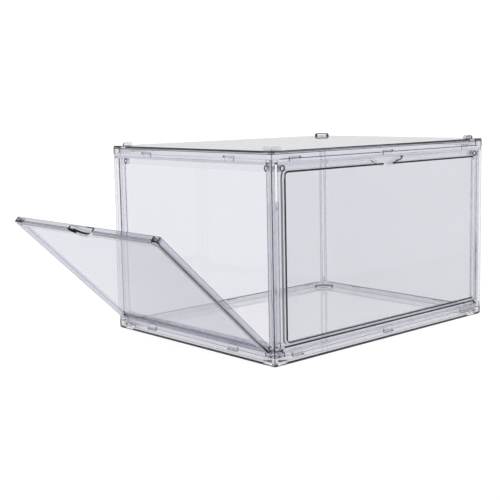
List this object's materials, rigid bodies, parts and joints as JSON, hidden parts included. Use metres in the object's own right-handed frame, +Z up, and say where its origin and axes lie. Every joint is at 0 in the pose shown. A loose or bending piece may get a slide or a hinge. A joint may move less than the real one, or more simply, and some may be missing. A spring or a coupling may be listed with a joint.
{
  "type": "shoe box",
  "caption": "Clear stackable display shoe box with a wide drop-down door in front, a narrow one at the side, and magnetic latches.",
  "frame": {"origin": "centre of the flat underside", "axes": "+X right, towards the plain side wall; +Y back, towards the plain back wall; +Z up. The wide door faces -Y and the narrow door faces -X."},
  "size_m": [0.4982, 0.278, 0.225],
  "materials": {
    "clear_tray": "polished, injection-moulded clear plastic",
    "clear_frame": "polished, injection-moulded clear plastic",
    "clear_sheet": "polished clear plastic sheet",
    "clear_door": "polished, injection-moulded clear plastic",
    "magnet": "bright nickel plating"
  },
  "bodies": {
    "case": {"base_tray": "clear_tray", "top_tray": "clear_tray", "post_front_left": "clear_frame", "post_front_right": "clear_frame", "post_back_left": "clear_frame", "post_back_right": "clear_frame", "wall_back": "clear_sheet", "wall_right": "clear_sheet", "front_sill": "clear_frame", "front_header": "clear_frame", "side_sill": "clear_frame", "side_header": "clear_frame", "front_frame_magnet_left": "magnet", "front_frame_magnet_right": "magnet", "side_frame_magnet_near": "magnet", "side_frame_magnet_far": "magnet"},
    "front_door": {"front_door": "clear_door", "front_door_magnet_left": "magnet", "front_door_magnet_right": "magnet"},
    "side_door": {"side_door": "clear_door", "side_door_magnet_near": "magnet", "side_door_magnet_far": "magnet"}
  },
  "joints": [
    {"name": "front_door_hinge", "type": "hinge", "parent": "case", "child": "front_door", "pos_m": [0, -0.135, 0.0143], "axis": [1, 0, 0], "range_deg": [0, 46.5]},
    {"name": "side_door_hinge", "type": "hinge", "parent": "case", "child": "side_door", "pos_m": [-0.176, 0, 0.0143], "axis": [0, -1, 0], "range_deg": [-46.5, 0]}
  ]
}
